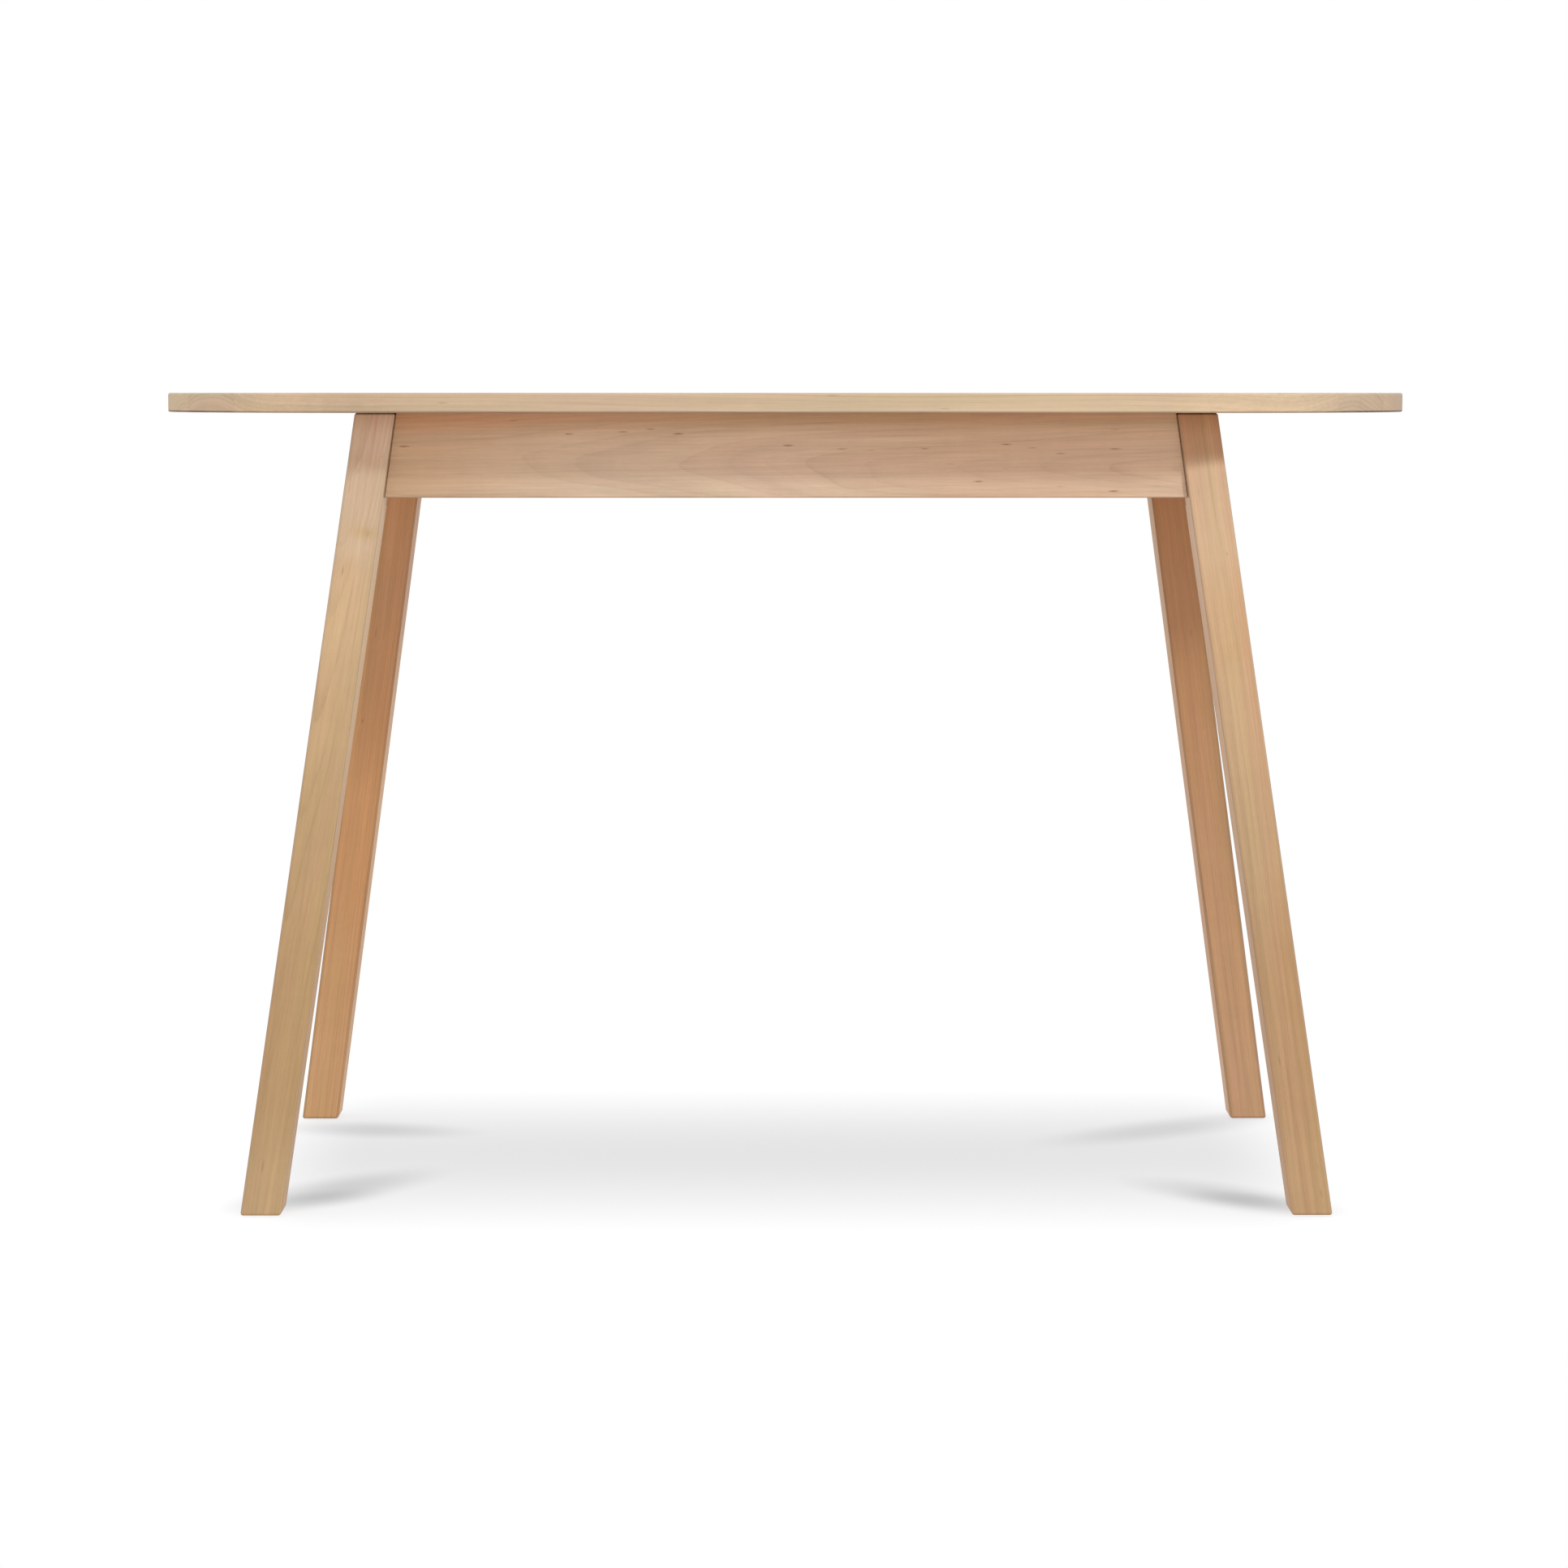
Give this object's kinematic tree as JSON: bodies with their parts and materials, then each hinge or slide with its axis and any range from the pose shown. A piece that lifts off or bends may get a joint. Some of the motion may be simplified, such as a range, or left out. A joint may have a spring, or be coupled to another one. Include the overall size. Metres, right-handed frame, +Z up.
{
  "type": "table",
  "caption": "Wooden hall or dining table: thin oval-ended top, deep rails, and square tapered legs splayed outwards in both directions.",
  "frame": {"origin": "on the floor, under the middle of the top", "axes": "+Z up, +X along the length towards the right-hand end as seen from the front, the front is -Y"},
  "size_m": [1.1858, 0.7, 0.75],
  "materials": {
    "top_wood": "satin clear-lacquered light maple or birch, edge-glued staves along the length",
    "rail_wood": "satin clear-lacquered light maple or birch, grain along the rail",
    "leg_wood": "satin clear-lacquered light maple or birch, grain along the leg",
    "block_wood": "sanded unlacquered hardwood",
    "zinc_steel": "bright zinc-plated steel",
    "nylon": "off-white nylon"
  },
  "bodies": {
    "root": {"top_panel": "top_wood", "front_rail": "rail_wood", "back_rail": "rail_wood", "left_rail": "rail_wood", "right_rail": "rail_wood", "leg_front_left": "leg_wood", "leg_front_right": "leg_wood", "leg_back_left": "leg_wood", "leg_back_right": "leg_wood", "corner_block_front_left": "block_wood", "corner_block_front_right": "block_wood", "corner_block_back_left": "block_wood", "corner_block_back_right": "block_wood", "block_screws": "zinc_steel", "hanger_bolts": "zinc_steel", "bolt_washers": "zinc_steel", "bolt_lock_washers": "zinc_steel", "bolt_nuts": "zinc_steel", "top_clips": "zinc_steel", "top_clip_screws": "zinc_steel", "glide_nails": "zinc_steel", "foot_glides": "nylon"}
  },
  "joints": []
}
